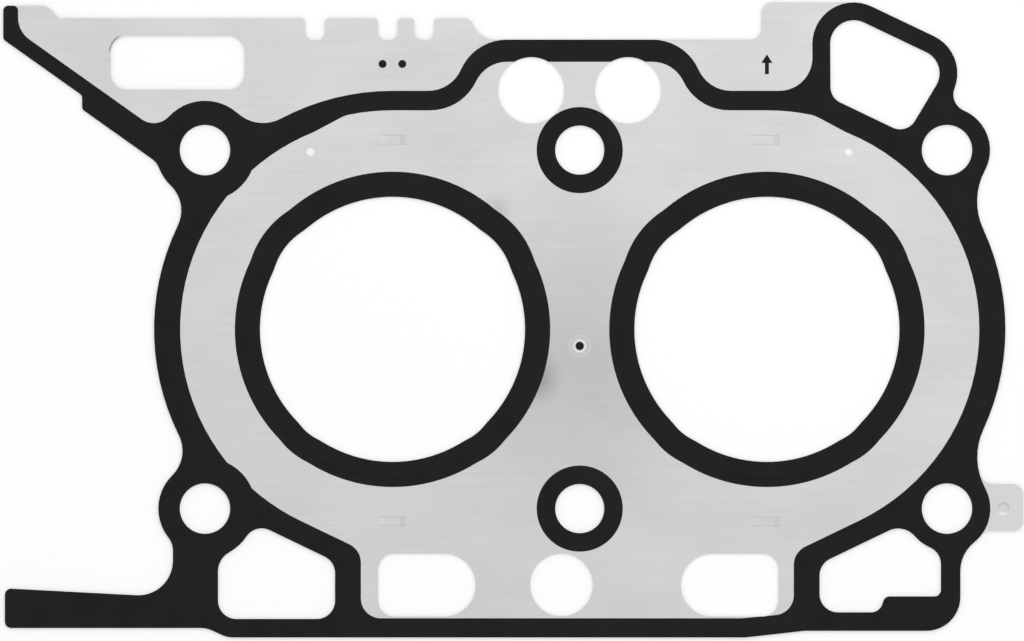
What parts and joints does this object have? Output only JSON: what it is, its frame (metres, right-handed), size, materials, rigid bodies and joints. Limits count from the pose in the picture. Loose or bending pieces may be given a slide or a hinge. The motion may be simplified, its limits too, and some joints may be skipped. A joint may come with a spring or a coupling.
{
  "type": "cylinder head gasket",
  "caption": "Flat layered steel head gasket: a beaded upper sheet with a rubber sealing track on a flat lower sheet, open at the bores, head bolts, passages and ports.",
  "frame": {"origin": "midway between the two bore centres, on the underside of the lower sheet, where the gasket rests on the cylinder block", "axes": "+X along the row of bores, towards the end with the small tab; +Y towards the side with the arch over the twin passages; +Z away from the block, towards the cylinder head"},
  "size_m": [0.3078, 0.1917, 0.0008],
  "materials": {
    "steel": "rolled, satin",
    "stopper_steel": "rolled, satin",
    "rubber_coat": "matt, printed"
  },
  "bodies": {
    "root": {"carrier_sheet": "steel", "active_sheet": "steel", "left_stopper_ring": "stopper_steel", "right_stopper_ring": "stopper_steel", "perimeter_coat": "rubber_coat", "left_bore_coat": "rubber_coat", "right_bore_coat": "rubber_coat", "upper_bolt_coat": "rubber_coat", "lower_bolt_coat": "rubber_coat", "centre_dot": "rubber_coat", "left_edge_dot": "rubber_coat", "right_edge_dot": "rubber_coat"}
  },
  "joints": []
}
